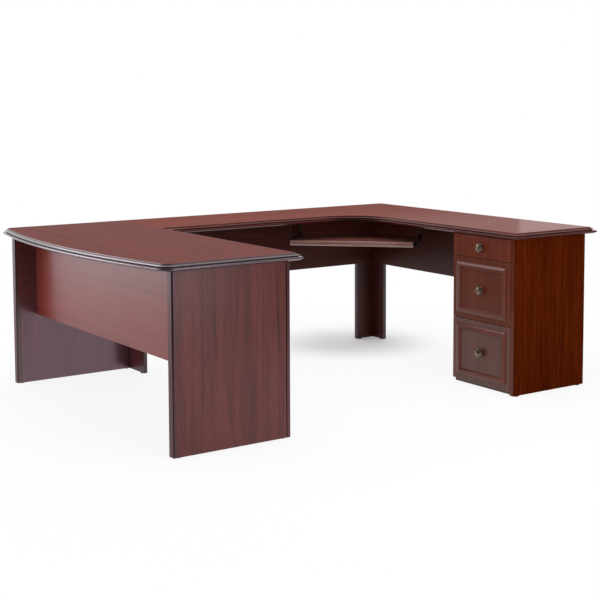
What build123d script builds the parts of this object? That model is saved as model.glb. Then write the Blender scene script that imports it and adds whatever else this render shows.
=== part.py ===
from build123d import *
import math
import os

# U-shaped office desk in dark laminate: a bow-front desk on two end panels, joined to an
# L-shaped corner desk with a sliding keyboard tray and a three-drawer pedestal.
# Millimetres. +Z is up and the origin is on the floor, at the middle of the plan.
# The bow faces -X, the side wing runs along +X, and both wings meet at the +X +Y corner.

# Tops
height = 762.0
top_thickness = 30.0
bow_length = 1651.0
bow_end_depth = 615.0
bow_rise = 90.0
bow_corner_radius = 55.0
back_length = 1712.0
back_depth = 490.0
wing_length = 1672.0
wing_depth = 531.0
inner_curve_radius = 230.0

# Edge moulding round the tops, as widths out from the board and depths below the surface
edge_projection = 23.0
edge_flat = 1.0
edge_cove_width = 8.5
edge_cove_depth = 7.0
edge_cove_hollow = 1.1
edge_ledge_width = 16.0
edge_ledge_fall = 2.5
edge_quirk_width = 8.0
edge_quirk_height = 6.0
edge_bead_start = 17.0
edge_bead_end = 18.0
edge_bead_height = 10.0
edge_under_width = 10.0

# End panels of the bow desk
end_overhang = 22.5
front_overhang = 41.0
near_panel_depth = 545.0
panel_thickness = 40.0
panel_strip_width = 22.0
panel_strip_round = 6.0
panel_strip_ease = 5.5

# Modesty panels and legs
modesty_thickness = 18.0
bow_modesty_setback = 106.0
bow_modesty_floor_gap = 334.0
back_modesty_inset = 134.5
side_modesty_inset = 168.0
modesty_floor_gap = 438.0
leg_thickness = 20.0
leg_strip_width = 8.0
leg_strip_round = 3.0
end_leg_setback = 29.0
end_leg_width = 159.0
corner_leg_width = 118.0

# Pedestal
pedestal_width = 419.0
pedestal_depth = 460.0
pedestal_front_setback = 14.0
pedestal_end_thickness = 23.0
carcass_thickness = 16.0
pedestal_rail_width = 60.0
kick_height = 38.0

# Drawers
front_thickness = 18.0
front_ease = 1.2
front_gap = 2.0
front_floor_gap = 22.0
top_front_height = 105.5
middle_front_height = 299.0
box_thickness = 12.0
box_bottom_thickness = 6.0
box_bottom_lift = 6.0
box_lift = 14.0
box_drop = 25.0
box_floor_gap = 8.0
box_back_gap = 26.0
file_rail_height = 3.0

# Raised frames on the two deep drawer fronts
frame_inset = 26.0
frame_width = 29.0
frame_edge = 3.0
frame_crown = 8.0
frame_shoulder = 23.0
frame_swell = 1.8
frame_inner_step = 3.0
frame_inner_width = 2.0

# Knobs, as radii and lengths out from the drawer front
knob_base_radius = 15.0
knob_base_height = 3.0
knob_stem_radius = 7.0
knob_stem_height = 12.0
knob_head_radius = 21.5
knob_head_height = 14.5
knob_rim_height = 8.0
knob_rim_round = 3.0
knob_screw_radius = 2.0
knob_screw_head_radius = 4.5
knob_screw_head_height = 2.5

# Sheet-metal runners of the drawers and the tray
runner_gap = 12.7
runner_height = 36.0
runner_wall = 1.5
runner_clearance = 0.5
runner_front_gap = 2.0

# Keyboard tray, set square to the corner's diagonal and drawn partly out
tray_width = 635.0
tray_depth = 275.0
tray_board_thickness = 16.0
tray_lip_thickness = 18.0
tray_lip_height = 26.0
tray_lip_drop = 6.0
tray_lip_round = 6.0
tray_lip_groove = 2.0
tray_reach = 263.0
tray_shift = -6.0
tray_headroom = 88.0
tray_runner_height = 24.0
tray_runner_gap = 12.0
tray_runner_length = 340.0
tray_runner_reach = 192.0
tray_hanger_width = 36.0
tray_hanger_thickness = 2.5
tray_hanger_flange = 30.0
tray_hanger_inset = 30.0

# Fittings
bracket_leg = 30.0
bracket_width = 40.0
bracket_thickness = 3.0
plate_length = 140.0
plate_width = 40.0
plate_thickness = 3.0
screw_head_radius = 4.0
screw_head_height = 2.2
screw_spacing = 20.0
glide_radius = 12.0
glide_height = 4.0
glide_inset = 30.0

# Places that follow from the sizes
under_z = height - top_thickness
overall_length = bow_end_depth + bow_rise + back_length
side_x = overall_length / 2
seam_x = side_x - back_length
far_y = max(bow_length, wing_length) / 2
bow_near_y = far_y - bow_length
bow_mid_y = far_y - bow_length / 2
wing_near_y = far_y - wing_length
wing_front_x = side_x - wing_depth
back_front_y = far_y - back_depth

panel_front_x = seam_x - bow_end_depth + front_overhang
near_panel_y = bow_near_y + end_overhang
far_panel_y = far_y - end_overhang
end_leg_x = seam_x + end_leg_setback
bow_modesty_x = panel_front_x + bow_modesty_setback
back_modesty_y = far_y - back_modesty_inset
side_modesty_x = side_x - side_modesty_inset

pedestal_near_y = wing_near_y + end_overhang
pedestal_far_y = pedestal_near_y + pedestal_width
pedestal_front_x = wing_front_x + pedestal_front_setback
pedestal_back_x = pedestal_front_x + pedestal_depth
carcass_front_x = pedestal_front_x + front_thickness
bay_near_y = pedestal_near_y + pedestal_end_thickness
bay_far_y = pedestal_far_y - carcass_thickness
pedestal_floor_z = glide_height + kick_height + carcass_thickness

pieces = {}


def block(x0, x1, y0, y1, z0, z1):
    """A square-edged board between two corners."""
    size = Box(x1 - x0, y1 - y0, z1 - z0)
    return Pos((x0 + x1) / 2, (y0 + y1) / 2, (z0 + z1) / 2) * size


def group(solids):
    """Like pieces that share one node and stay separate solids."""
    return Compound(children=list(solids))


def arc(center, radius, start, end):
    """An arc about a centre between two angles in degrees."""
    points = []
    for angle in (start, (start + end) / 2, end):
        turn = math.radians(angle)
        points.append((center[0] + radius * math.cos(turn), center[1] + radius * math.sin(turn)))
    return ThreePointArc(*points)


def bulged(start, end, rise):
    """An arc that swells by rise to the left of its travel, or is hollow where rise is negative."""
    chord = Vector(*end) - Vector(*start)
    middle = (Vector(*start) + Vector(*end)) * 0.5
    swell = Vector(-chord.Y, chord.X).normalized() * rise
    return ThreePointArc(start, middle + swell, end)


def straight_run(section, start, end, outward, before=None, after=None):
    """A moulded section along a line, mitred to the runs whose directions come before and after."""
    direction = (Vector(*end) - Vector(*start)).normalized()
    spare = 2 * section.bounding_box().size.X
    first = Vector(*start) - direction * (spare if before else 0)
    last = Vector(*end) + direction * (spare if after else 0)
    run = extrude(Plane(first, x_dir=outward, z_dir=direction) * section, amount=(last - first).length)
    if before:
        keep_side = (Vector(*before) + direction).normalized()
        run = split(run, bisect_by=Plane(start, z_dir=keep_side), keep=Keep.TOP)
    if after:
        keep_side = (Vector(*after) + direction).normalized() * -1
        run = split(run, bisect_by=Plane(end, z_dir=keep_side), keep=Keep.TOP)
    return run


def bent_run(section, center, radius, start, end, level):
    """A moulded section round an arc: outwards of it when it runs clockwise, inwards when not."""
    clockwise = end < start
    turn = math.radians(start)
    radial = Vector(math.cos(turn), math.sin(turn), 0)
    outward = radial if clockwise else radial * -1
    direction = Vector(math.sin(turn), -math.cos(turn), 0) * (1 if clockwise else -1)
    origin = Vector(center[0], center[1], level) + radial * radius
    axis = Axis((center[0], center[1], level), (0, 0, -1 if clockwise else 1))
    return revolve(Plane(origin, x_dir=outward, z_dir=direction) * section, axis, abs(end - start))


# Edge moulding section: a cove, a ledge, a deep narrow quirk and a round nose
ledge_z = -(edge_cove_depth + edge_ledge_fall)
quirk_z = ledge_z - edge_quirk_height
bead_z = quirk_z - edge_bead_height
cove_foot = (edge_cove_width, -edge_cove_depth)
ledge_edge = (edge_ledge_width, ledge_z)
quirk_roof = (edge_quirk_width, ledge_z)
quirk_floor = (edge_quirk_width, quirk_z)
bead_top = (edge_bead_start, quirk_z)
bead_nose = (edge_projection, (quirk_z + bead_z) / 2)
bead_foot = (edge_bead_end, bead_z)
under_edge = (edge_under_width, -top_thickness)
edge_section = make_face([
    Line((0, 0), (edge_flat, 0)),
    bulged((edge_flat, 0), cove_foot, -edge_cove_hollow),
    Polyline(cove_foot, ledge_edge, quirk_roof, quirk_floor, bead_top),
    ThreePointArc(bead_top, bead_nose, bead_foot),
    Polyline(bead_foot, under_edge, (0, -top_thickness), (0, 0)),
])

# Board lines inside the mouldings
bow_near_b = bow_near_y + edge_projection
wing_near_b = wing_near_y + edge_projection
far_b = far_y - edge_projection
side_b = side_x - edge_projection
wing_front_b = wing_front_x + edge_projection
back_front_b = back_front_y + edge_projection
bow_back_b = seam_x

# Bow desk top: straight ends, rounded front corners and a shallow bow
bow_radius = (bow_length ** 2 / 4 + bow_rise ** 2) / (2 * bow_rise)
bow_center = (-side_x + bow_radius, bow_mid_y)
corner_rise = bow_length / 2 - bow_corner_radius
corner_x = bow_center[0] - math.sqrt((bow_radius - bow_corner_radius) ** 2 - corner_rise ** 2)
near_corner = (corner_x, bow_near_y + bow_corner_radius)
far_corner = (corner_x, far_y - bow_corner_radius)
bow_spread = math.degrees(math.atan2(corner_rise, bow_center[0] - corner_x))
bow_board_radius = bow_radius - edge_projection
corner_board_radius = bow_corner_radius - edge_projection

bow_outline = make_face([
    Line((bow_back_b, bow_near_b), (corner_x, bow_near_b)),
    arc(near_corner, corner_board_radius, 270, 180 + bow_spread),
    arc(bow_center, bow_board_radius, 180 + bow_spread, 180 - bow_spread),
    arc(far_corner, corner_board_radius, 180 - bow_spread, 90),
    Line((corner_x, far_b), (bow_back_b, far_b)),
    Line((bow_back_b, far_b), (bow_back_b, bow_near_b)),
])
pieces["bow_top"] = Pos(0, 0, under_z) * extrude(bow_outline, amount=top_thickness, dir=(0, 0, 1))

# Bow desk mouldings: one strip bent round the front, one along the back up to the corner desk
left, right, forth, back = (-1, 0, 0), (1, 0, 0), (0, -1, 0), (0, 1, 0)
bow_near_end = (bow_back_b, bow_near_b, height)
inside_corner = (bow_back_b, back_front_b, height)
pieces["bow_front_moulding"] = (
    straight_run(edge_section, bow_near_end, (corner_x, bow_near_b, height), forth, before=forth)
    + bent_run(edge_section, near_corner, corner_board_radius, 270, 180 + bow_spread, height)
    + bent_run(edge_section, bow_center, bow_board_radius, 180 + bow_spread, 180 - bow_spread, height)
    + bent_run(edge_section, far_corner, corner_board_radius, 180 - bow_spread, 90, height)
    + straight_run(edge_section, (corner_x, far_b, height), (seam_x, far_b, height), back)
)
pieces["bow_back_moulding"] = straight_run(
    edge_section, inside_corner, bow_near_end, right, before=left, after=left)

# Corner desk top: two wings with a concave curve between their front edges
curve_center = (wing_front_x - inner_curve_radius, back_front_y - inner_curve_radius)
curve_board_radius = inner_curve_radius + edge_projection
corner_outline = make_face([
    Line((seam_x, back_front_b), (curve_center[0], back_front_b)),
    arc(curve_center, curve_board_radius, 90, 0),
    Line((wing_front_b, curve_center[1]), (wing_front_b, wing_near_b)),
    Line((wing_front_b, wing_near_b), (side_b, wing_near_b)),
    Line((side_b, wing_near_b), (side_b, far_b)),
    Line((side_b, far_b), (seam_x, far_b)),
    Line((seam_x, far_b), (seam_x, back_front_b)),
])
pieces["corner_top"] = Pos(0, 0, under_z) * extrude(corner_outline, amount=top_thickness, dir=(0, 0, 1))

# Corner desk mouldings
wing_front_end = (wing_front_b, wing_near_b, height)
wing_side_end = (side_b, wing_near_b, height)
outer_corner = (side_b, far_b, height)
pieces["corner_front_moulding"] = (
    straight_run(edge_section, wing_front_end, (wing_front_b, curve_center[1], height), left, before=left)
    + bent_run(edge_section, curve_center, curve_board_radius, 0, 90, height)
    + straight_run(edge_section, (curve_center[0], back_front_b, height), inside_corner, forth, after=forth)
)
pieces["corner_back_moulding"] = straight_run(
    edge_section, (seam_x, far_b, height), outer_corner, back, after=forth)
pieces["corner_side_moulding"] = straight_run(
    edge_section, outer_corner, wing_side_end, right, before=right, after=left)
pieces["corner_near_moulding"] = straight_run(
    edge_section, wing_side_end, wing_front_end, forth, before=forth, after=back)


def panel_strip(x0, x1, y0, y1, free_face):
    """An edge strip of an end panel, rounded on its free face."""
    strip = block(x0, x1, y0, y1, glide_height, under_z)
    return fillet(strip.faces().sort_by(Axis.X)[free_face].edges().filter_by(Axis.Z), panel_strip_round)


# End panels of the bow desk: a board between two thick edge strips, with a groove at the back one
end_panels = {
    "near_end_panel": (near_panel_y, near_panel_y + panel_thickness, panel_front_x + near_panel_depth),
    "far_end_panel": (far_panel_y - panel_thickness, far_panel_y, end_leg_x + leg_thickness),
}
strips = []
for name, (y0, y1, back_x) in end_panels.items():
    front_joint = panel_front_x + panel_strip_width
    back_joint = back_x - panel_strip_width
    pieces[name] = block(front_joint, back_joint, y0, y1, glide_height, under_z)
    strips.append(panel_strip(panel_front_x, front_joint, y0, y1, 0))
    back_strip = panel_strip(back_joint, back_x, y0, y1, -1)
    groove_edges = back_strip.faces().sort_by(Axis.X)[0].edges().filter_by(Axis.Z)
    strips.append(chamfer(groove_edges, panel_strip_ease))
pieces["end_panel_strips"] = group(strips)

# Modesty panels
near_inner_y = near_panel_y + panel_thickness
far_inner_y = far_panel_y - panel_thickness
end_leg_back_x = end_leg_x + leg_thickness
pieces["bow_modesty_panel"] = block(bow_modesty_x, bow_modesty_x + modesty_thickness,
                                    near_inner_y, far_inner_y, bow_modesty_floor_gap, under_z)
pieces["back_modesty_panel"] = block(end_leg_back_x, side_modesty_x + modesty_thickness,
                                     back_modesty_y, back_modesty_y + modesty_thickness,
                                     modesty_floor_gap, under_z)
pieces["side_modesty_panel"] = block(side_modesty_x, side_modesty_x + modesty_thickness,
                                     pedestal_far_y, back_modesty_y, modesty_floor_gap, under_z)

# Legs: one board beside the far end panel, two boards in an L behind the modesty corner
leg_back_y = back_modesty_y + modesty_thickness
leg_side_x = side_modesty_x + modesty_thickness
end_leg_near_y = far_inner_y - end_leg_width
left_leg_x = leg_side_x - corner_leg_width
right_leg_near_y = leg_back_y + leg_thickness - corner_leg_width
pieces["end_leg"] = block(end_leg_x, end_leg_back_x, end_leg_near_y + leg_strip_width, far_inner_y,
                          glide_height, under_z)
pieces["corner_leg_left"] = block(left_leg_x + leg_strip_width, leg_side_x,
                                  leg_back_y, leg_back_y + leg_thickness, glide_height, under_z)
pieces["corner_leg_right"] = block(leg_side_x, leg_side_x + leg_thickness,
                                   right_leg_near_y + leg_strip_width, leg_back_y + leg_thickness,
                                   glide_height, under_z)


def leg_strip(x0, x1, y0, y1, free_side):
    """A solid edging on a leg board, rounded on its free side."""
    strip = block(x0, x1, y0, y1, glide_height, under_z)
    return fillet(strip.faces().sort_by(free_side)[0].edges().filter_by(Axis.Z), leg_strip_round)


pieces["leg_edge_strips"] = group([
    leg_strip(end_leg_x, end_leg_back_x, end_leg_near_y, end_leg_near_y + leg_strip_width, Axis.Y),
    leg_strip(left_leg_x, left_leg_x + leg_strip_width, leg_back_y, leg_back_y + leg_thickness, Axis.X),
    leg_strip(leg_side_x, leg_side_x + leg_thickness,
              right_leg_near_y, right_leg_near_y + leg_strip_width, Axis.Y),
])

# Pedestal carcass
inner_back_x = pedestal_back_x - carcass_thickness
pieces["pedestal_end_panel"] = block(pedestal_front_x, pedestal_back_x, pedestal_near_y, bay_near_y,
                                     glide_height, under_z)
pieces["pedestal_inner_panel"] = block(carcass_front_x, pedestal_back_x, bay_far_y, pedestal_far_y,
                                       glide_height, under_z)
pieces["pedestal_back"] = block(inner_back_x, pedestal_back_x, bay_near_y, bay_far_y,
                                glide_height + kick_height, under_z)
pieces["pedestal_bottom"] = block(carcass_front_x, inner_back_x, bay_near_y, bay_far_y,
                                  glide_height + kick_height, pedestal_floor_z)
pieces["pedestal_kick_plate"] = block(carcass_front_x, carcass_front_x + carcass_thickness,
                                      bay_near_y, bay_far_y, glide_height, glide_height + kick_height)
pieces["pedestal_rails"] = group([
    block(carcass_front_x, carcass_front_x + pedestal_rail_width, bay_near_y, bay_far_y,
          under_z - carcass_thickness, under_z),
    block(inner_back_x - pedestal_rail_width, inner_back_x, bay_near_y, bay_far_y,
          under_z - carcass_thickness, under_z),
])


def channel(x0, x1, y_web, y_lips, z_mid, tall):
    """A sheet-metal channel along X: its web on y_web, its two flanges reaching to y_lips."""
    side = 1 if y_lips > y_web else -1
    low, high = sorted((y_web, y_lips))
    shell = block(x0, x1, low, high, z_mid - tall / 2, z_mid + tall / 2)
    inner = tall / 2 - runner_wall
    low, high = sorted((y_web + side * runner_wall, y_lips + side * runner_wall))
    return shell - block(x0, x1, low, high, z_mid - inner, z_mid + inner)


# Drawer fronts are stacked down from the top, with the bottom one taking the height that is left
top_front_z = under_z - front_gap - top_front_height
middle_front_z = top_front_z - front_gap - middle_front_height
bottom_front_height = middle_front_z - front_gap - front_floor_gap
front_near_y = bay_near_y + front_gap
front_far_y = pedestal_far_y
front_mid_y = (front_near_y + front_far_y) / 2
box_near_y = bay_near_y + runner_gap
box_far_y = bay_far_y - runner_gap
box_back_x = inner_back_x - box_back_gap
runner_inner = runner_height - 2 * runner_wall - 2 * runner_clearance
drawers = {
    "top": (top_front_z, top_front_height, top_front_z + box_lift),
    "middle": (middle_front_z, middle_front_height, middle_front_z + box_lift),
    "bottom": (front_floor_gap, bottom_front_height, pedestal_floor_z + box_floor_gap),
}

# Raised frame section: a low outer edge, a round crown and a step down to the panel
crown_start = (-frame_shoulder, frame_crown)
crown_end = (frame_inner_width - frame_width + frame_edge, frame_crown)
step_edge = (frame_inner_width - frame_width, frame_inner_step)
frame_section = make_face([
    Line((0, 0), (0, frame_edge)),
    bulged((0, frame_edge), crown_start, -frame_swell),
    Polyline(crown_start, crown_end, step_edge, (-frame_width, frame_inner_step / 2), (-frame_width, 0), (0, 0)),
])


def raised_frame(z0, z1):
    """Four mitred sticks round a drawer front, crowned towards -X."""
    y0, y1 = front_near_y + frame_inset, front_far_y - frame_inset
    z0, z1 = z0 + frame_inset, z1 - frame_inset
    corners = [(pedestal_front_x, y, z) for y, z in ((y0, z0), (y1, z0), (y1, z1), (y0, z1))]
    runs = [(0, 1, 0), (0, 0, 1), (0, -1, 0), (0, 0, -1)]
    sticks = []
    for i in range(4):
        sticks.append(straight_run(frame_section, corners[i], corners[(i + 1) % 4], runs[i - 1],
                                   before=runs[i - 1], after=runs[(i + 1) % 4]))
    return group(sticks)


def knob(z):
    """A turned mushroom knob standing out of the drawer front, and the screw that holds it."""
    waist_z = knob_base_height + knob_stem_height / 2
    head_z = knob_base_height + knob_stem_height
    rim_z = head_z + knob_rim_height
    tip_z = head_z + knob_head_height
    seat_radius = knob_head_radius - knob_rim_round
    dome_z = (tip_z ** 2 - rim_z ** 2 - seat_radius ** 2) / (2 * (tip_z - rim_z))
    dome_radius = tip_z - dome_z
    dome_turn = math.atan2(seat_radius, rim_z - dome_z) / 2
    dome_mid = (dome_radius * math.sin(dome_turn), dome_z + dome_radius * math.cos(dome_turn))
    flare = (knob_stem_radius + knob_base_radius) / 2
    profile = make_face([
        Line((0, 0), (knob_base_radius, 0)),
        Line((knob_base_radius, 0), (knob_base_radius, knob_base_height / 2)),
        Line((knob_base_radius, knob_base_height / 2), (flare, knob_base_height)),
        Line((flare, knob_base_height), (knob_stem_radius, waist_z)),
        Line((knob_stem_radius, waist_z), (seat_radius, head_z)),
        ThreePointArc((seat_radius, head_z), (knob_head_radius, (head_z + rim_z) / 2), (seat_radius, rim_z)),
        ThreePointArc((seat_radius, rim_z), dome_mid, (0, tip_z)),
        Line((0, tip_z), (0, 0)),
    ])
    turned = revolve(profile, Axis.Y)
    screw = extrude(Circle(knob_screw_radius), amount=front_thickness)
    screw += Pos(0, 0, front_thickness) * extrude(Circle(knob_screw_head_radius), amount=knob_screw_head_height)
    spot = (pedestal_front_x, front_mid_y, z)
    out_of_front = Plane(spot, x_dir=(0, 0, 1), z_dir=(0, -1, 0)).location
    into_front = Plane(spot, x_dir=(0, 1, 0), z_dir=(1, 0, 0)).location
    return group([out_of_front * turned, into_front * screw])


fixed_runners = []
for name, (front_z, front_height, box_z) in drawers.items():
    front_top_z = front_z + front_height
    front = block(pedestal_front_x, carcass_front_x, front_near_y, front_far_y, front_z, front_top_z)
    front = chamfer(front.faces().sort_by(Axis.X)[0].edges(), front_ease)
    knob_z = (front_z + front_top_z) / 2
    knob_hole = Plane((pedestal_front_x, front_mid_y, knob_z), z_dir=(1, 0, 0))
    front -= extrude(knob_hole * Circle(knob_screw_radius), amount=front_thickness)
    pieces[f"{name}_drawer_front"] = front

    box_top_z = front_top_z - box_drop
    floor_z = box_z + box_bottom_lift
    pieces[f"{name}_drawer_near_side"] = block(carcass_front_x, box_back_x, box_near_y,
                                               box_near_y + box_thickness, box_z, box_top_z)
    pieces[f"{name}_drawer_far_side"] = block(carcass_front_x, box_back_x, box_far_y - box_thickness,
                                              box_far_y, box_z, box_top_z)
    pieces[f"{name}_drawer_back"] = block(box_back_x - box_thickness, box_back_x, box_near_y + box_thickness,
                                          box_far_y - box_thickness, box_z, box_top_z)
    pieces[f"{name}_drawer_bottom"] = block(carcass_front_x, box_back_x - box_thickness,
                                            box_near_y + box_thickness, box_far_y - box_thickness,
                                            floor_z, floor_z + box_bottom_thickness)
    pieces[f"{name}_drawer_knob"] = knob(knob_z)

    runner_z = box_z + runner_height / 2
    flange = runner_gap - runner_wall - runner_clearance
    pieces[f"{name}_drawer_moving_runners"] = group([
        channel(carcass_front_x, box_back_x, box_near_y, box_near_y - flange, runner_z, runner_inner),
        channel(carcass_front_x, box_back_x, box_far_y, box_far_y + flange, runner_z, runner_inner),
    ])
    for web_y, side in ((bay_near_y, 1), (bay_far_y, -1)):
        fixed_runners.append(channel(carcass_front_x + runner_front_gap, box_back_x, web_y,
                                     web_y + side * flange, runner_z, runner_height))
    if name != "top":
        pieces[f"{name}_drawer_frame"] = raised_frame(front_z, front_top_z)
        pieces[f"{name}_drawer_file_rails"] = group([
            block(carcass_front_x, box_back_x, box_near_y, box_near_y + box_thickness,
                  box_top_z, box_top_z + file_rail_height),
            block(carcass_front_x, box_back_x, box_far_y - box_thickness, box_far_y,
                  box_top_z, box_top_z + file_rail_height),
        ])
pieces["drawer_fixed_runners"] = group(fixed_runners)

# Keyboard tray, drawn with +X towards the sitter and +Y across, then set on the corner's diagonal
tray_frame = Plane((wing_front_x, back_front_y, 0), x_dir=(-1, -1, 0), z_dir=(0, 0, 1)).location
tray_surface_z = under_z - tray_headroom
tray_near = tray_shift - tray_width / 2
tray_far = tray_shift + tray_width / 2
tray_front = tray_reach - tray_lip_thickness
tray_back = tray_front - tray_depth
tray_runner_z = tray_surface_z - tray_board_thickness / 2
tray_flange = tray_runner_gap - runner_wall - runner_clearance
tray_inner = tray_runner_height - 2 * runner_wall - 2 * runner_clearance
tray_lip_z = tray_surface_z - tray_board_thickness - tray_lip_drop

tray_board = block(tray_back, tray_front, tray_near, tray_far,
                   tray_surface_z - tray_board_thickness, tray_surface_z)
tray_lip = block(tray_front, tray_reach, tray_near, tray_far, tray_lip_z, tray_lip_z + tray_lip_height)
tray_lip = fillet(tray_lip.faces().sort_by(Axis.X)[-1].edges().filter_by(Axis.Y), tray_lip_round)
groove_z = tray_lip_z + tray_lip_height / 2
tray_lip -= block(tray_reach - tray_lip_groove, tray_reach, tray_near, tray_far,
                  groove_z, groove_z + tray_lip_groove)
pieces["tray_board"] = tray_frame * tray_board
pieces["tray_lip"] = tray_frame * tray_lip

tray_rail_x1 = tray_runner_reach
tray_rail_x0 = tray_runner_reach - tray_runner_length
moving = []
fixed = []
hangers = []
for edge_y, side in ((tray_near, -1), (tray_far, 1)):
    web_y = edge_y + side * tray_runner_gap
    moving.append(channel(tray_back, tray_front, edge_y, edge_y + side * tray_flange, tray_runner_z, tray_inner))
    fixed.append(channel(tray_rail_x0, tray_rail_x1, web_y, web_y - side * tray_flange,
                         tray_runner_z, tray_runner_height))
    for hanger_x in (tray_rail_x0 + tray_hanger_inset, tray_rail_x1 - tray_hanger_inset):
        x0, x1 = hanger_x - tray_hanger_width / 2, hanger_x + tray_hanger_width / 2
        drop_y = sorted((web_y, web_y + side * tray_hanger_thickness))
        flange_y = sorted((web_y, web_y + side * tray_hanger_flange))
        drop = block(x0, x1, *drop_y, tray_runner_z - tray_runner_height / 2, under_z)
        hangers.append(drop + block(x0, x1, *flange_y, under_z - tray_hanger_thickness, under_z))
pieces["tray_moving_runners"] = tray_frame * group(moving)
pieces["tray_fixed_runners"] = tray_frame * group(fixed)
pieces["tray_hangers"] = tray_frame * group(hangers)


def screw_head():
    """A pan-head screw seen from the head, pointing up to what it is driven into."""
    head = extrude(Circle(screw_head_radius), amount=-screw_head_height)
    return fillet(head.edges().sort_by(Axis.Z)[0], screw_head_height / 2)


# Angle brackets between the tops and the upright boards: a point on the board's face, a turn about Z
bracket_spots = [
    (panel_front_x + near_panel_depth * 0.3, near_inner_y, 90),
    (panel_front_x + near_panel_depth * 0.8, near_inner_y, 90),
    (panel_front_x + near_panel_depth * 0.4, far_inner_y, -90),
    (panel_front_x + near_panel_depth * 0.8, far_inner_y, -90),
    (bow_modesty_x + modesty_thickness, bow_mid_y - bow_length / 4, 0),
    (bow_modesty_x + modesty_thickness, bow_mid_y + bow_length / 4, 0),
    (end_leg_back_x, (end_leg_near_y + back_modesty_y) / 2, 0),
    (end_leg_back_x + back_length * 0.25, back_modesty_y, -90),
    (end_leg_back_x + back_length * 0.6, back_modesty_y, -90),
    (side_modesty_x, pedestal_far_y + wing_length * 0.15, 180),
    (side_modesty_x, pedestal_far_y + wing_length * 0.5, 180),
]
bracket = block(0, bracket_leg, -bracket_width / 2, bracket_width / 2, -bracket_thickness, 0)
bracket += block(0, bracket_thickness, -bracket_width / 2, bracket_width / 2, -bracket_leg, 0)
screws = []
brackets = []
for x, y, turn in bracket_spots:
    seat = Pos(x, y, under_z) * Rot(0, 0, turn)
    brackets.append(seat * bracket)
    reach = (bracket_thickness + bracket_leg) / 2
    for across in (-screw_spacing / 2, screw_spacing / 2):
        screws.append(seat * Pos(reach, across, -bracket_thickness) * screw_head())
        screws.append(seat * Pos(bracket_thickness, across, -reach) * Rot(0, -90, 0) * screw_head())
pieces["corner_brackets"] = group(brackets)

# Flat plates that join the two tops across their seam
plate_run = end_leg_near_y - back_front_b
plates = []
for share in (0.2, 0.5, 0.8):
    plate_y = back_front_b + plate_run * share
    plates.append(block(seam_x - plate_length / 2, seam_x + plate_length / 2, plate_y - plate_width / 2,
                        plate_y + plate_width / 2, under_z - plate_thickness, under_z))
    for x in (seam_x - plate_length / 2 + screw_spacing, seam_x + plate_length / 2 - screw_spacing):
        for y in (plate_y - screw_spacing / 2, plate_y + screw_spacing / 2):
            screws.append(Pos(x, y, under_z - plate_thickness) * screw_head())
pieces["joining_plates"] = group(plates)
pieces["fitting_screws"] = group(screws)

# Floor glides under every board that stands
panel_mid = panel_thickness / 2
leg_mid = leg_thickness / 2
end_mid = pedestal_end_thickness / 2
inner_mid = carcass_thickness / 2
glide_spots = [
    (panel_front_x + glide_inset, near_panel_y + panel_mid),
    (panel_front_x + near_panel_depth - glide_inset, near_panel_y + panel_mid),
    (panel_front_x + glide_inset, far_panel_y - panel_mid),
    (end_leg_back_x - glide_inset, far_panel_y - panel_mid),
    (end_leg_x + leg_mid, end_leg_near_y + glide_inset),
    (left_leg_x + glide_inset, leg_back_y + leg_mid),
    (leg_side_x + leg_mid, right_leg_near_y + glide_inset),
    (pedestal_front_x + glide_inset, pedestal_near_y + end_mid),
    (pedestal_back_x - glide_inset, pedestal_near_y + end_mid),
    (carcass_front_x + glide_inset, pedestal_far_y - inner_mid),
    (pedestal_back_x - glide_inset, pedestal_far_y - inner_mid),
]
glides = []
for x, y in glide_spots:
    glide = extrude(Circle(glide_radius), amount=glide_height)
    glides.append(Pos(x, y, 0) * fillet(glide.edges().sort_by(Axis.Z)[0], glide_height / 3))
pieces["floor_glides"] = group(glides)

os.makedirs("parts", exist_ok=True)
for name, shape in pieces.items():
    export_step(shape, f"parts/{name}.step")
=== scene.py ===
import math

import bpy
from mathutils import Matrix, Vector


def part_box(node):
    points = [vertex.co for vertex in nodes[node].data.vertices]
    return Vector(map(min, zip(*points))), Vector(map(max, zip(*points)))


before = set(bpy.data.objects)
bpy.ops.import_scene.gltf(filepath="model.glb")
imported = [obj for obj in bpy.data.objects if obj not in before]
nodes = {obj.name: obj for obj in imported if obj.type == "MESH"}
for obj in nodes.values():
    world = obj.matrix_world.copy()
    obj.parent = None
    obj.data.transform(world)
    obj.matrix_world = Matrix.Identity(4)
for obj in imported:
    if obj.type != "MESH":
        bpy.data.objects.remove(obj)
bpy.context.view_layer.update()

# End panels of the bow desk: two upright slabs of chipboard between which the desk hangs.
# Both faces carry a wood-print laminate whose grain stands upright, and each slab is
# dowelled and bracketed to the underside of the top.


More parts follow.
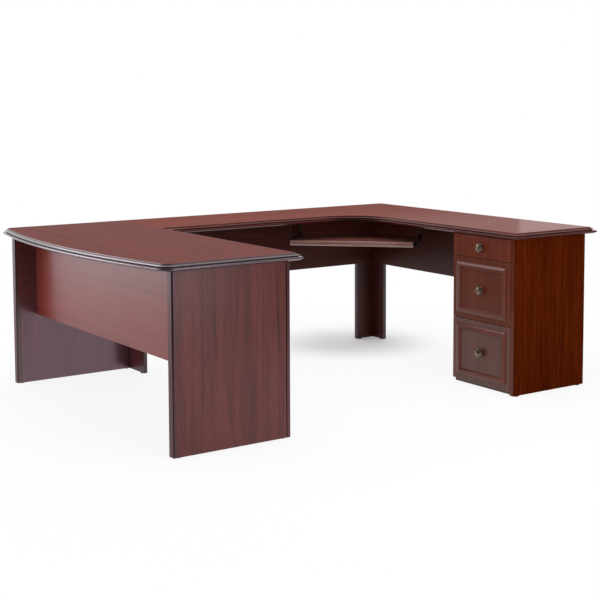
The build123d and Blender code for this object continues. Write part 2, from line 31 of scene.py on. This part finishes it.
class Wire:
    """A shader socket that can stand in plain arithmetic."""

    def __init__(self, tree, socket=None):
        self.tree = tree
        self.socket = socket

    def node(self, kind, settings=None, sockets=None, out=0):
        """One node: its settings go in first, then the values or links of its sockets."""
        made = self.tree.nodes.new(kind)
        for name, value in (settings or {}).items():
            if name == "stops":
                ramp = made.color_ramp.elements
                while len(ramp) < len(value):
                    ramp.new(1.0)
                for stop, (place, colour) in zip(ramp, value):
                    stop.position = place
                    stop.color = (*colour, 1.0)
            else:
                setattr(made, name, value)
        for name, value in (sockets or {}).items():
            if isinstance(value, Wire):
                self.tree.links.new(value.socket, made.inputs[name])
            else:
                made.inputs[name].default_value = value
        return Wire(self.tree, made.outputs[out] if made.outputs else None)

    def beside(self, name):
        """Another output of the node that this socket belongs to."""
        return Wire(self.tree, self.socket.node.outputs[name])

    def maths(self, operation, first, second=0.0):
        return self.node("ShaderNodeMath", {"operation": operation}, {0: first, 1: second})

    def __add__(self, other):
        return self.maths("ADD", self, other)

    def __radd__(self, other):
        return self.maths("ADD", other, self)

    def __sub__(self, other):
        return self.maths("SUBTRACT", self, other)

    def __rsub__(self, other):
        return self.maths("SUBTRACT", other, self)

    def __mul__(self, other):
        return self.maths("MULTIPLY", self, other)

    def __rmul__(self, other):
        return self.maths("MULTIPLY", other, self)

    def __gt__(self, other):
        return self.maths("GREATER_THAN", self, other)

    def size(self):
        return self.maths("ABSOLUTE", self)

    def cycle(self):
        return self.maths("FRACT", self)

    def between(self, low, high):
        """0 up to low, 1 from high on, and a smooth rise between them."""
        return self.node("ShaderNodeMapRange", {"interpolation_type": "SMOOTHSTEP"},
                         {0: self, 1: low, 2: high})

    def tint(self, first, second):
        """The first colour where this is 0 and the second where it is 1."""
        ends = [end if isinstance(end, Wire) else (*end, 1.0) for end in (first, second)]
        return self.node("ShaderNodeMix", {"data_type": "RGBA"}, {0: self, 6: ends[0], 7: ends[1]}, out=2)

    def ramp(self, places, tones):
        """The colour that goes from tone to tone as this rises through the places."""
        return self.node("ShaderNodeValToRGB", {"stops": list(zip(places, tones))}, {0: self})

    def relief(self, strength, depth):
        """The normal of a surface that rises and falls with this."""
        return self.node("ShaderNodeBump", None, {"Strength": strength, "Distance": depth, "Height": self})

    def along(self, axis):
        """One axis of a vector."""
        return self.node("ShaderNodeSeparateXYZ", None, {0: self}, out=axis)

    def place(self):
        """The spot on the surface, in the desk's own metres."""
        return self.node("ShaderNodeTexCoord", out="Object")

    def facing(self, axis):
        """How far the surface looks along one axis, from -1 to 1."""
        return self.node("ShaderNodeNewGeometry", out="Normal").along(axis)


def finish(name):
    """A new material with an empty node tree, and the wire that its nodes start from."""
    material = bpy.data.materials.new(name)
    material.use_nodes = True
    material.node_tree.nodes.clear()
    return material, Wire(material.node_tree)


def surface(start, **sockets):
    """The material's one shader, with its sockets' names written with underscores."""
    named = {name.replace("_", " "): value for name, value in sockets.items()}
    shader = start.node("ShaderNodeBsdfPrincipled", None, named)
    start.node("ShaderNodeOutputMaterial", None, {"Surface": shader})


def speckle(start, place, scale, detail=3.0, roughness=0.55, distortion=0.0):
    """Noise stretched by one scale for each axis, in repeats to the metre."""
    stretched = start.node("ShaderNodeVectorMath", {"operation": "MULTIPLY"}, {0: place, 1: scale})
    return start.node("ShaderNodeTexNoise", None, {"Vector": stretched, "Scale": 1.0, "Detail": detail,
                                                   "Roughness": roughness, "Distortion": distortion})


def drawn_out(grain, run, across):
    """The scale of noise that runs along one axis and is fine across it."""
    return tuple(run if axis == grain else across for axis in "XYZ")


def wood_print(start, place, grain, broad=0.55):
    """Wood figure printed along one axis, with the streaks, threads, flecks and pores that make it."""
    bands = speckle(start, place, drawn_out(grain, 0.9, 22.0), detail=2.5, distortion=0.6)
    rings = (bands * 7.0).cycle()
    lines = rings.between(0.1, 0.8) - rings.between(0.86, 1.0)
    streaks = speckle(start, place, drawn_out(grain, 2.6, 130.0), detail=4.0, roughness=0.65)
    threads = speckle(start, place, drawn_out(grain, 9.0, 420.0), detail=2.0)
    flecks = speckle(start, place, drawn_out(grain, 11.0, 240.0), detail=2.0).between(0.56, 0.72)
    pores = speckle(start, place, drawn_out(grain, 38.0, 1300.0), detail=1.0).between(0.6, 0.72)
    figure = bands * broad + lines * 0.06 + streaks * (0.95 - broad) + threads * 0.30 - 0.14
    return figure, streaks, threads, flecks, pores


def printed_wood(figure, flecks, pores, tones):
    """The print's colour: four tones from dark to light, with dark flecks and pores."""
    colour = figure.ramp((0.28, 0.45, 0.62, 0.8), tones)
    return (flecks * 0.45 + pores * 0.45).tint(colour, tones[0])


white_sheen = (1.0, 1.0, 1.0)


def laminate(name, grain, tones, gloss, coat=0.0, turn=0.0, shine=0.5, sheen=white_sheen, index=1.5,
             broad=0.55, backed=False, band=None):
    """Wood-print laminate, on request with brown paper below or a band of its own on its front edge."""
    material, start = finish(name)
    place = start.place()
    if callable(coat):
        coat = coat(place)
    if turn:
        place = start.node("ShaderNodeMapping", None, {"Vector": place, "Rotation": (0.0, 0.0, turn)})
    figure, streaks, threads, flecks, pores = wood_print(start, place, grain, broad)
    colour = printed_wood(figure, flecks, pores, tones)
    if backed:
        under = 1.0 - start.facing("Z").between(-0.9, -0.7)
        fibre = speckle(start, place, (160.0, 160.0, 160.0), detail=4.0)
        paper = fibre.tint((0.028, 0.014, 0.010), (0.075, 0.042, 0.030))
        colour = under.tint(colour, paper)
    if band:
        front = 1.0 - start.facing("X").between(-0.9, -0.7)
        colour = front.tint(colour, printed_wood(figure, flecks, pores, band))
        coat = front * 0.5
    rough = gloss + streaks * 0.09 + pores * 0.12 - 0.045
    height = streaks * 0.5 + threads * 0.3 - flecks * 0.3 - pores * 0.6
    surface(start, Base_Color=colour, Roughness=rough, Normal=height.relief(0.10, 0.0004), Coat_Weight=coat,
            Coat_Roughness=0.12, Specular_IOR_Level=shine, Specular_Tint=(*sheen, 1.0), IOR=index)
    return material


weld_reach = 0.00002
board_ease = 0.0006


def dress(material, *names, ease=0.0):
    """Gives CAD nodes a finish and, where ease is set, softens their sawn edges by that much."""
    for name in names:
        piece = nodes[name]
        piece.data.materials.clear()
        piece.data.materials.append(material)
        if ease:
            weld = piece.modifiers.new("weld", "WELD")
            weld.merge_threshold = weld_reach
            soften = piece.modifiers.new("soften", "BEVEL")
            soften.width = ease
            soften.segments = 2
            soften.limit_method = "ANGLE"
            soften.harden_normals = True


# The near and far panels carry one laminate: the far panel's much darker tones are painted shade, set for
# where it stands in the light.
near_tones = ((0.044, 0.008, 0.006), (0.090, 0.016, 0.013),
              (0.130, 0.026, 0.021), (0.176, 0.041, 0.033))
near_laminate = laminate("panel_laminate", "Z", near_tones, gloss=0.28, shine=0.42)
dress(near_laminate, "near_end_panel", ease=board_ease)
far_shaded_tones = ((0.019, 0.004, 0.005), (0.045, 0.008, 0.009),
             (0.070, 0.013, 0.015), (0.109, 0.020, 0.022))
rose_sheen = (1.0, 0.72, 0.83)
far_laminate = laminate("far_panel_laminate", "Z", far_shaded_tones, gloss=0.24, shine=0.80, sheen=rose_sheen,
                        index=1.8, broad=0.8)
dress(far_laminate, "far_end_panel", ease=board_ease)

# Edge strips of the end panels: solid extruded plastic strips, as thick as the panel, glued
# on before assembly. Their outer edges are rounded, and a small groove marks the joint of
# the two on the sitter's side.
strip_tones = ((0.034, 0.007, 0.007), (0.068, 0.013, 0.013),
               (0.098, 0.021, 0.020), (0.134, 0.033, 0.031))
# Near black for the strips' rounded noses: a painted dark reflection.
strip_painted_dark_nose = (0.012, 0.004, 0.006)
strip_sheen = (1.0, 0.80, 0.90)


def printed_strip(name, tones, nose, gloss):
    """Strip printed like the panel on its flats, which shine most at the far end, with a painted dark
    reflection on its rounded nose.
    """
    material, start = finish(name)
    place = start.place()
    figure, streaks, threads, flecks, pores = wood_print(start, place, "Z")
    wood = printed_wood(figure, flecks, pores, tones)
    front = start.facing("X")
    rounding = (front * front.beside("Y")).size().between(0.04, 0.24)
    # The rounded nose is painted near black, a painted dark reflection.
    colour = rounding.tint(wood, nose)
    rough = gloss + streaks * 0.09 - rounding * 0.12 - 0.045
    far_end = place.along("Y").between(-0.1, 0.1)
    flat = front.beside("Y").size().between(0.8, 0.95)
    surface(start, Base_Color=colour, Roughness=rough, Normal=threads.relief(0.08, 0.0003),
            Specular_IOR_Level=0.30, Specular_Tint=(*strip_sheen, 1.0),
            Coat_Weight=(0.3 + far_end * 0.7) * flat, Coat_Roughness=0.24, Coat_IOR=1.65)
    return material


dress(printed_strip("panel_edge_strip", strip_tones, strip_painted_dark_nose, 0.32), "end_panel_strips")

# Modesty panels: three boards hung between the uprights, clear of the floor. The same laminate is laid with
# its grain running level along each board; the bow desk's board has much lighter tones than the other two,
# painted light and shade for how each stands in the light.
bow_modesty_lit_tones = ((0.156, 0.026, 0.019), (0.200, 0.034, 0.025),
                 (0.235, 0.043, 0.032), (0.269, 0.053, 0.041))
shaded_inner_tones = ((0.029, 0.006, 0.004), (0.050, 0.010, 0.007),
               (0.067, 0.015, 0.010), (0.088, 0.022, 0.015))
bow_modesty_laminate = laminate("bow_modesty_laminate", "Y", bow_modesty_lit_tones, gloss=0.30, shine=0.34)
back_modesty_laminate = laminate("back_modesty_laminate", "X", shaded_inner_tones, gloss=0.34, shine=0.16)
side_modesty_laminate = laminate("side_modesty_laminate", "Y", shaded_inner_tones, gloss=0.34, shine=0.16)
dress(bow_modesty_laminate, "bow_modesty_panel", ease=board_ease)
dress(back_modesty_laminate, "back_modesty_panel", ease=board_ease)
dress(side_modesty_laminate, "side_modesty_panel", ease=board_ease)

# Legs: one board beside the far end panel and two in an L behind the corner, all with upright grain. Solid
# edgings are glued on their free sides and rounded a little.
# All three carry one laminate; the end leg's lighter tones and the corner legs' darker ones are painted
# light and shade.
end_leg_lit_tones = ((0.080, 0.013, 0.014), (0.132, 0.024, 0.026),
                 (0.174, 0.035, 0.037), (0.216, 0.050, 0.052))
end_leg_laminate = laminate("end_leg_laminate", "Z", end_leg_lit_tones, gloss=0.34, shine=0.38)
dress(end_leg_laminate, "end_leg", ease=board_ease)
corner_leg_laminate = laminate("corner_leg_laminate", "Z", shaded_inner_tones, gloss=0.36, shine=0.3)
dress(corner_leg_laminate, "corner_leg_left", "corner_leg_right", ease=board_ease)


def mottled(first, second, dark, light):
    """A colour that wanders between dark and light with two noises."""
    return (first * 0.5 + second * 0.5).between(0.3, 0.7).tint(dark, light)


def strip_plastic(name, dark, light, gloss, grain):
    """Dark extruded plastic with faint drawing lines along its length."""
    material, start = finish(name)
    place = start.place()
    drawn = speckle(start, place, drawn_out(grain, 3.0, 700.0), detail=2.0)
    cloud = speckle(start, place, (14.0, 14.0, 14.0), detail=3.0)
    surface(start, Base_Color=mottled(drawn, cloud, dark, light), Roughness=gloss + drawn * 0.08 - 0.04,
            Normal=drawn.relief(0.06, 0.0003))
    return material


leg_strip = strip_plastic("leg_edge_strip", (0.042, 0.017, 0.023), (0.078, 0.036, 0.048), 0.28, "Z")
dress(leg_strip, "leg_edge_strips")

# Tops: thick chipboard with a glossy, sealed laminate above and plain brown paper below.
# The bow desk's grain runs along its length and the corner desk's along its back.
# The two tops carry one laminate; their different tones are painted light and shade.
bow_top_tones = ((0.090, 0.013, 0.010), (0.120, 0.019, 0.013),
                 (0.145, 0.025, 0.016), (0.170, 0.031, 0.021))
corner_top_tones = ((0.116, 0.018, 0.011), (0.153, 0.025, 0.015),
                    (0.184, 0.031, 0.019), (0.214, 0.039, 0.024))


def wing_polish(place):
    """Gloss that grows from the back towards the much-used end of the side wing."""
    return 0.215 - place.along("Y").between(-0.4, 0.6) * 0.115


bow_top_laminate = laminate("bow_top_laminate", "Y", bow_top_tones, gloss=0.30, coat=0.125, shine=0.0,
                            backed=True)
corner_top_laminate = laminate("corner_top_laminate", "X", corner_top_tones, gloss=0.30, coat=wing_polish,
                               shine=0.0, backed=True)
dress(bow_top_laminate, "bow_top")
dress(corner_top_laminate, "corner_top")

# Edge mouldings of the tops: a concave cove, a ledge, a deep quirk and a round nose, milled in
# fibreboard and wrapped in dark gloss foil. They are glued round the boards and mitred at
# the corners. The ledge and the nose carry more gloss than the cove. Their colour holds painted light and
# shade: a painted highlight on the nose, a painted tone in the quirk and a painted dark reflection on the
# mitred bends.
top_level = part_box("bow_top")[1].z
cove_depth = 0.0060
ledge_depth = 0.0095
nose_depth = 0.0155
fade = 0.0008
# Near black for the mitred bends: a painted dark reflection.
bend_painted_dark = (0.006, 0.003, 0.003)
lavender_sheen = (1.0, 0.84, 0.92)


def foil_print(start, place, dark, light):
    """The cloud and the flecks of a printed foil, and the colour that they make."""
    cloud = speckle(start, place, (8.0, 8.0, 40.0), detail=4.0, distortion=0.4)
    fleck = speckle(start, place, (260.0, 260.0, 900.0), detail=2.0)
    colour = (cloud * 0.7 + fleck * 0.3).between(0.3, 0.7).tint(dark, light)
    return cloud, fleck, colour


def edge_foil(name, dark, light, painted_nose_tone, painted_quirk_tone, gloss, polish, shine, sheen=white_sheen, index=1.5):
    """Moulding foil with a faint figure, dull in the cove, with a painted nose highlight, a painted quirk
    tone and painted dark bends.
    """
    material, start = finish(name)
    place = start.place()
    depth = top_level - place.along("Z")
    handled = depth.between(cove_depth - fade, cove_depth + fade)
    nose = depth.between(nose_depth - fade, nose_depth + 2.0 * fade)
    quirk = depth.between(ledge_depth, ledge_depth + fade) - depth.between(nose_depth - fade, nose_depth)
    front = start.facing("X")
    bend = (front * front.beside("Y")).between(0.10, 0.35)
    cloud, fleck, colour = foil_print(start, place, dark, light)
    # Painted light and shade: the nose gets a painted highlight tone, the quirk its own painted tone (dark
    # shade on the bow desk, lifted light on the corner desk), the bends a painted dark reflection.
    colour = (nose * (0.6 + cloud * 0.4)).tint(colour, painted_nose_tone)
    colour = quirk.tint(colour, painted_quirk_tone)
    colour = bend.tint(colour, bend_painted_dark)
    rough = gloss + (1.0 - handled) * 0.25 + fleck * 0.10 + quirk * 0.6 + bend * 0.4 - 0.05
    coat = (handled - quirk) * (1.0 - bend) * polish
    surface(start, Base_Color=colour, Roughness=rough, Normal=fleck.relief(0.05, 0.0003), Coat_Weight=coat,
            Coat_Roughness=0.08, Specular_IOR_Level=shine, Specular_Tint=(*sheen, 1.0), IOR=index)
    return material


# The bow and corner mouldings carry one foil; their different tones are painted light and shade, and the
# bow's is given more shine.
bow_foil = edge_foil("bow_moulding_foil", dark=(0.024, 0.008, 0.008), light=(0.052, 0.017, 0.016),
                     painted_nose_tone=(0.046, 0.027, 0.029), painted_quirk_tone=(0.004, 0.002, 0.002), gloss=0.18, polish=0.25,
                     shine=0.72, sheen=lavender_sheen, index=1.65)
dress(bow_foil, "bow_front_moulding", "bow_back_moulding")
corner_foil = edge_foil("corner_moulding_foil", dark=(0.050, 0.008, 0.005), light=(0.096, 0.017, 0.011),
                        painted_nose_tone=(0.062, 0.013, 0.010), painted_quirk_tone=(0.110, 0.022, 0.016), gloss=0.28, polish=0.12,
                        shine=0.09)
dress(corner_foil, "corner_front_moulding", "corner_back_moulding", "corner_side_moulding",
      "corner_near_moulding")

# Pedestal: laminated chipboard boards dowelled into an open-fronted box, with a kick plate
# under the lowest drawer. The near end shows most, and its grain stands upright.
pedestal_tones = ((0.024, 0.003, 0.001), (0.058, 0.007, 0.001),
                  (0.090, 0.013, 0.002), (0.132, 0.024, 0.006))
band_tones = ((0.050, 0.009, 0.005), (0.090, 0.018, 0.010),
              (0.122, 0.027, 0.016), (0.156, 0.040, 0.026))
thin_ease = 0.0004
pedestal_laminate = laminate("pedestal_laminate", "Z", pedestal_tones, gloss=0.40, shine=0.0, broad=0.22,
                             band=band_tones)
dress(pedestal_laminate, "pedestal_end_panel", "pedestal_inner_panel", "pedestal_back", ease=board_ease)
carcass_laminate = laminate("carcass_laminate", "Y", pedestal_tones, gloss=0.36)
dress(carcass_laminate, "pedestal_bottom", "pedestal_kick_plate", "pedestal_rails", ease=thin_ease)

# Drawer boxes: thin boards wrapped in plain brown vinyl, folded and glued at the corners,
# with a hardboard bottom in a groove.


def wrapped_board(name, dark, light):
    """Vinyl-wrapped board with a fine leathery emboss."""
    material, start = finish(name)
    place = start.place()
    cloud = speckle(start, place, (6.0, 6.0, 6.0), detail=3.0)
    emboss = speckle(start, place, (1600.0, 1600.0, 1600.0), detail=2.0)
    colour = (cloud * 0.6 + emboss * 0.4).between(0.3, 0.7).tint(dark, light)
    surface(start, Base_Color=colour, Roughness=0.5 + emboss * 0.1, Normal=emboss.relief(0.15, 0.0002))
    return material


box_vinyl = wrapped_board("box_vinyl", (0.055, 0.024, 0.014), (0.090, 0.042, 0.026))
drawer_names = ("top", "middle", "bottom")
for drawer in drawer_names:
    boards = [f"{drawer}_drawer_{board}" for board in ("near_side", "far_side", "back", "bottom")]
    dress(box_vinyl, *boards, ease=thin_ease)

# Drawer fronts: laminated boards with eased edges and upright grain, screwed to the boxes
# from inside. The three carry one laminate; their tones step darker from the top drawer
# down as painted shade, and the lowest is given more shine.
top_front_tones = ((0.062, 0.010, 0.003), (0.108, 0.018, 0.006),
                   (0.146, 0.026, 0.009), (0.187, 0.038, 0.015))
front_tones = ((0.054, 0.010, 0.004), (0.094, 0.018, 0.007),
               (0.127, 0.026, 0.011), (0.163, 0.038, 0.018))
low_front_tones = ((0.044, 0.010, 0.005), (0.078, 0.018, 0.009),
                   (0.105, 0.026, 0.014), (0.136, 0.038, 0.023))
top_front_laminate = laminate("top_front_laminate", "Z", top_front_tones, gloss=0.34, shine=0.17)
front_laminate = laminate("front_laminate", "Z", front_tones, gloss=0.34, shine=0.17)
low_front_laminate = laminate("low_front_laminate", "Z", low_front_tones, gloss=0.34, shine=0.48)
dress(top_front_laminate, "top_drawer_front")
dress(front_laminate, "middle_drawer_front")
dress(low_front_laminate, "bottom_drawer_front")

# Raised frames of the two deep fronts: four sticks of foil-wrapped moulding, mitred at the
# corners and glued on. The figure turns with each stick.
deep_drawers = ("middle", "bottom")


def frame_foil(name, node, tones, gloss):
    """Moulding foil whose grain runs along the stick that it is on."""
    material, start = finish(name)
    low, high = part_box(node)
    middle = (low + high) / 2
    half = (high - low) / 2
    place = start.place()
    across = place.along("Y")
    upright = across.beside("Z")
    side_reach = (across - middle.y).size() - half.y
    rail_reach = (upright - middle.z).size() - half.z
    on_stile = side_reach - rail_reach > 0.0
    stile = speckle(start, place, drawn_out("Z", 5.0, 190.0), detail=4.0, roughness=0.65)
    rail = speckle(start, place, drawn_out("Y", 5.0, 190.0), detail=4.0, roughness=0.65)
    figure = on_stile * stile + (1.0 - on_stile) * rail
    colour = figure.ramp((0.3, 0.45, 0.6, 0.75), tones)
    surface(start, Base_Color=colour, Roughness=gloss + figure * 0.1 - 0.05,
            Normal=figure.relief(0.06, 0.0003), Specular_IOR_Level=0.34)
    return material


for drawer in deep_drawers:
    node = f"{drawer}_drawer_frame"
    dress(frame_foil(node, node, front_tones, 0.31), node)

# Knobs: cast and turned mushroom knobs in antiqued brass, whose brown patina is worn thin
# in soft patches. One screw through the front holds each.


def antique_brass(name):
    """Brass under a brown patina that is worn thin in soft patches."""
    material, start = finish(name)
    worn = speckle(start, start.place(), (120.0, 120.0, 120.0), detail=4.0)
    bright = worn.between(0.4, 0.65)
    colour = bright.tint((0.052, 0.036, 0.027), (0.300, 0.222, 0.155))
    surface(start, Base_Color=colour, Roughness=0.36 - bright * 0.12, Normal=worn.relief(0.08, 0.0003),
            Metallic=0.9)
    return material


knob_brass = antique_brass("knob_brass")
for drawer in drawer_names:
    dress(knob_brass, f"{drawer}_drawer_knob")

# Runners: channels rolled from zinc-plated strip, screwed to the pedestal and the boxes. The
# file rails are bright strips along the two deep drawers' sides.


def rolled_steel(name, dark, light, gloss, grain, metal):
    """Rolled steel with drawing marks along its length and small dull spots."""
    material, start = finish(name)
    place = start.place()
    drawn = speckle(start, place, drawn_out(grain, 12.0, 1500.0), detail=2.0)
    spots = speckle(start, place, (60.0, 60.0, 60.0), detail=4.0)
    surface(start, Base_Color=mottled(drawn, spots, dark, light), Roughness=gloss + spots * 0.16 - 0.08,
            Normal=drawn.relief(0.05, 0.0002), Metallic=metal)
    return material


runner_zinc = rolled_steel("runner_zinc", (0.40, 0.41, 0.42), (0.60, 0.61, 0.62), 0.36, "X", 1.0)
dress(runner_zinc, "drawer_fixed_runners")
for drawer in drawer_names:
    dress(runner_zinc, f"{drawer}_drawer_moving_runners")
for drawer in deep_drawers:
    dress(runner_zinc, f"{drawer}_drawer_file_rails")

# Keyboard tray: a laminated board set across the corner, with a moulded wrist lip on its
# front edge. It slides in brown-painted channels that hang from the top on steel straps.
eighth_turn = math.radians(45.0)
# The tray's tones are set far lighter than the panels', painted light that makes up for the shade under the
# top.
tray_lit_tones = ((0.105, 0.030, 0.024), (0.180, 0.056, 0.046),
              (0.240, 0.080, 0.066), (0.300, 0.110, 0.092))
tray_laminate = laminate("tray_laminate", "Y", tray_lit_tones, gloss=0.32, coat=0.3, turn=-eighth_turn)
dress(tray_laminate, "tray_board", ease=thin_ease)


def lip_foil(name, dark, light):
    """Glossy foil with a faint cloudy figure, wrapped round the moulded lip."""
    material, start = finish(name)
    _, fleck, colour = foil_print(start, start.place(), dark, light)
    surface(start, Base_Color=colour, Roughness=0.21 + fleck * 0.10, Normal=fleck.relief(0.05, 0.0003),
            Coat_Weight=1.0, Coat_Roughness=0.08, Coat_IOR=1.6)
    return material


dress(lip_foil("tray_lip_foil", (0.180, 0.084, 0.070), (0.256, 0.130, 0.110)), "tray_lip")
painted_steel = rolled_steel("painted_steel", (0.022, 0.014, 0.012), (0.046, 0.030, 0.025), 0.42, "Z", 0.0)
dress(painted_steel, "tray_fixed_runners", "tray_moving_runners", "tray_hangers")

# Fittings: pressed angle brackets under the tops and flat plates across the seam between the
# two desks, all zinc plated, with pan-head screws.
pressed_ease = 0.0003
bracket_zinc = rolled_steel("bracket_zinc", (0.34, 0.35, 0.35), (0.56, 0.57, 0.57), 0.40, "Y", 1.0)
screw_zinc = rolled_steel("screw_zinc", (0.30, 0.30, 0.29), (0.52, 0.52, 0.50), 0.34, "Z", 1.0)
dress(bracket_zinc, "corner_brackets", "joining_plates", ease=pressed_ease)
dress(screw_zinc, "fitting_screws")

# Glides: turned black plastic feet, nailed under every upright board.
# They lift the boards a few millimetres off the floor.
glide_plastic = strip_plastic("glide_plastic", (0.010, 0.010, 0.010), (0.022, 0.021, 0.021), 0.45, "Z")
dress(glide_plastic, "floor_glides")

# Floor: a wide plain white studio floor that fades into the background. A painted white
# glow, seen by the camera and in mirrors, veils most of the desk's soft shadows on it;
# around the corner leg's foot the glow thins, so that a darker shadow shows there.
# The room beyond it is white wherever it is seen or mirrored.
scene = bpy.context.scene
scene.view_settings.view_transform = "Standard"
pure_white = (1.0, 1.0, 1.0, 1.0)
floor_paint = (0.86, 0.86, 0.86, 1.0)
floor_reach = 30.0
corner_leg_foot = (0.86, 0.72, 0.0)
room_fill = 0.8


def seen(start):
    """1 for what the camera sees straight, in a mirror or through glass."""
    ray = start.node("ShaderNodeLightPath", out="Is Camera Ray")
    return ray + ray.beside("Is Glossy Ray") + ray.beside("Is Transmission Ray")


def sheet(name, points, faces, material):
    """A thin sheet of the studio, which is no part of the desk."""
    mesh = bpy.data.meshes.new(name)
    mesh.from_pydata(points, [], faces)
    mesh.materials.append(material)
    made = bpy.data.objects.new(name, mesh)
    scene.collection.objects.link(made)
    return made


floor_white, start = finish("floor_white")
place = start.place()
away = start.node("ShaderNodeVectorMath", {"operation": "LENGTH"}, {0: place}, out="Value")
leg_side = start.node("ShaderNodeVectorMath", {"operation": "DISTANCE"}, {0: place, 1: corner_leg_foot},
                      out="Value")
# Painted glow: the share of white glow laid over the real shading, least around the corner leg's foot and
# whole far from the desk.
veil = 0.25 + leg_side.between(0.1, 0.6) * 0.63 + away.between(1.6, 2.6) * 0.12
bare = start.node("ShaderNodeBsdfDiffuse", None, {"Color": floor_paint})
white = start.node("ShaderNodeEmission", None, {"Color": pure_white, "Strength": 1.0})
mixed = start.node("ShaderNodeMixShader", None, {0: seen(start) * veil, 1: bare, 2: white})
start.node("ShaderNodeOutputMaterial", None, {"Surface": mixed})
floor_corners = [(-floor_reach, -floor_reach, 0.0), (floor_reach, -floor_reach, 0.0),
                 (floor_reach, floor_reach, 0.0), (-floor_reach, floor_reach, 0.0)]
sheet("studio_floor", floor_corners, [(0, 1, 2, 3)], floor_white)

world = bpy.data.worlds.new("studio_room")
scene.world = world
world.use_nodes = True
world.node_tree.nodes.clear()
start = Wire(world.node_tree)
fill = start.node("ShaderNodeBackground", None, {"Color": pure_white, "Strength": room_fill})
white = start.node("ShaderNodeBackground", None, {"Color": pure_white, "Strength": 1.0})
mixed = start.node("ShaderNodeMixShader", None, {0: seen(start), 1: fill, 2: white})
start.node("ShaderNodeOutputWorld", None, {"Surface": mixed})

# Dark curtain: the unlit side of the studio behind the camera. It is only mirrored in the
# desk's rounded edges, and the camera itself looks through it.
curtain_cloth, start = finish("curtain_cloth")
weave = speckle(start, start.place(), (40.0, 40.0, 40.0))
surface(start, Base_Color=weave.tint((0.010, 0.010, 0.010), (0.022, 0.022, 0.022)), Roughness=0.9)
curtain_radius = 9.0
curtain_height = 8.0
curtain_from = 168.0
curtain_to = 312.0
curtain_folds = 24
curtain_hem = 2.7
canopy_hem = 1.0
above_floor = 0.002
curtain_rows = ((curtain_hem, above_floor), (curtain_radius, above_floor),
                (curtain_radius, curtain_height), (canopy_hem, curtain_height))
points = []
for radius, level in curtain_rows:
    for step in range(curtain_folds + 1):
        turn = math.radians(curtain_from + (curtain_to - curtain_from) * step / curtain_folds)
        points.append((radius * math.cos(turn), radius * math.sin(turn), level))
row = curtain_folds + 1
last_row = row * (len(curtain_rows) - 1)
folds = [(i, i + 1, i + 1 + row, i + row) for i in range(last_row - 1) if (i + 1) % row]
curtain = sheet("studio_curtain", points, folds, curtain_cloth)
curtain.visible_shadow = False
curtain.visible_camera = False
curtain.visible_diffuse = False

# Lights: one wide soft box overhead and four standing ones, left, right, behind and beside the
# wing, where the desk's flat faces mirror them as a soft haze. Two long strips only add shine
# to the mouldings, one for the bow's front and one for its near end.
plain_light = (1.0, 1.0, 1.0)
lilac = (1.0, 0.91, 0.97)
cold_blue = (0.98, 0.98, 1.10)
violet = (0.92, 0.88, 1.06)
pale_blue = (0.94, 0.98, 1.08)


def soft_box(name, place, target, width, height, glow, colour=plain_light):
    """A rectangular soft light whose face shines as bright as glow."""
    lamp = bpy.data.lights.new(name, "AREA")
    lamp.shape = "RECTANGLE"
    lamp.size = width
    lamp.size_y = height
    lamp.energy = glow * width * height * math.pi
    lamp.color = colour
    made = bpy.data.objects.new(name, lamp)
    made.location = place
    made.rotation_euler = (Vector(target) - Vector(place)).to_track_quat("-Z", "Y").to_euler()
    made.visible_camera = False
    scene.collection.objects.link(made)
    return made


overhead = soft_box("overhead_box", (-0.4, -0.6, 4.2), (0.0, 0.0, 0.0), 4.0, 3.2, 1.6)
overhead.visible_glossy = False
soft_box("left_box", (-3.08, 3.01, 1.25), (-0.58, 0.41, 0.9), 2.0, 2.5, 2.5, cold_blue)
soft_box("back_box", (1.0, 4.4, 3.4), (-0.8, 0.2, 0.8), 2.6, 1.8, 1.5, lilac)
front_strip = soft_box("front_strip", (-4.2, 2.4, 2.4), (-0.9, -0.2, 0.74), 3.8, 0.6, 11.0, lilac)
front_strip.visible_diffuse = False
near_strip = soft_box("near_strip", (1.5, -4.0, 2.9), (-0.6, -0.8, 0.74), 2.4, 0.6, 6.0, violet)
near_strip.visible_diffuse = False
soft_box("right_box", (0.15, -3.5, 1.05), (-0.25, -0.8, 0.9), 1.1, 2.1, 3.0, pale_blue)
soft_box("wing_box", (6.6, 3.4, 1.5), (1.0, -0.5, 0.8), 2.6, 1.4, 0.95)

# Camera: at standing height off the bow desk's near corner, with a long lens.
# Its picture is shifted down, so that upright edges stay nearly upright.
camera_data = bpy.data.cameras.new("studio_camera")
camera_data.sensor_width = 36.0
camera_data.lens = 76.413
camera_data.shift_x = 0.0026
camera_data.shift_y = -0.1610
camera = bpy.data.objects.new("studio_camera", camera_data)
heading = Matrix.Rotation(math.radians(-34.328), 4, "Z")
tilt = Matrix.Rotation(math.radians(85.0), 4, "X")
roll = Matrix.Rotation(math.radians(-0.227), 4, "Z")
camera.rotation_euler = (heading @ tilt @ roll).to_euler()
camera.location = (-3.3872, -5.0339, 1.4111)
scene.collection.objects.link(camera)
scene.camera = camera
